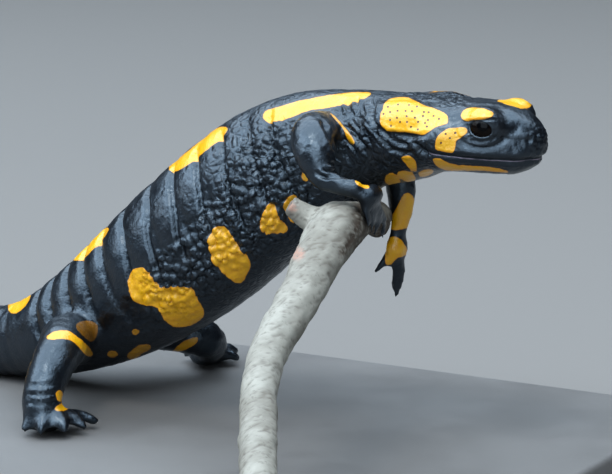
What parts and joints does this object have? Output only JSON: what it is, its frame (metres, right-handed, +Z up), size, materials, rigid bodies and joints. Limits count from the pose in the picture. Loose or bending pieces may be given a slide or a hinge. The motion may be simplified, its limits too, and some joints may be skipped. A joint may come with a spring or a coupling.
{
  "type": "fire salamander model",
  "caption": "Life-size still model of a black and yellow fire salamander that climbs with its forefeet over a weathered branch, on a plain display stand",
  "frame": {"origin": "centre of the flat underside of the stand's base", "axes": "+X along the base towards the animal's snout, +Y to the animal's left, +Z up"},
  "size_m": [0.1656, 0.1313, 0.0564],
  "materials": {
    "skin": "moist, smooth, black with yellow markings",
    "eye": "wet gloss",
    "bark": "weathered, matt",
    "base": "board with matt grey paint",
    "rod": "brushed"
  },
  "bodies": {
    "root": {"head": "skin", "lower_jaw": "skin", "neck": "skin", "torso_chest": "skin", "torso_belly": "skin", "torso_loin": "skin", "tail_base": "skin", "tail_middle": "skin", "tail_tip": "skin", "upper_arm_right": "skin", "forearm_right": "skin", "hand_right": "skin", "upper_arm_left": "skin", "forearm_left": "skin", "hand_left": "skin", "thigh_right": "skin", "shank_right": "skin", "foot_right": "skin", "thigh_left": "skin", "shank_left": "skin", "foot_left": "skin", "eye_right": "eye", "eye_left": "eye", "perch_branch": "bark", "stand_base": "base", "stand_rod": "rod"}
  },
  "joints": []
}
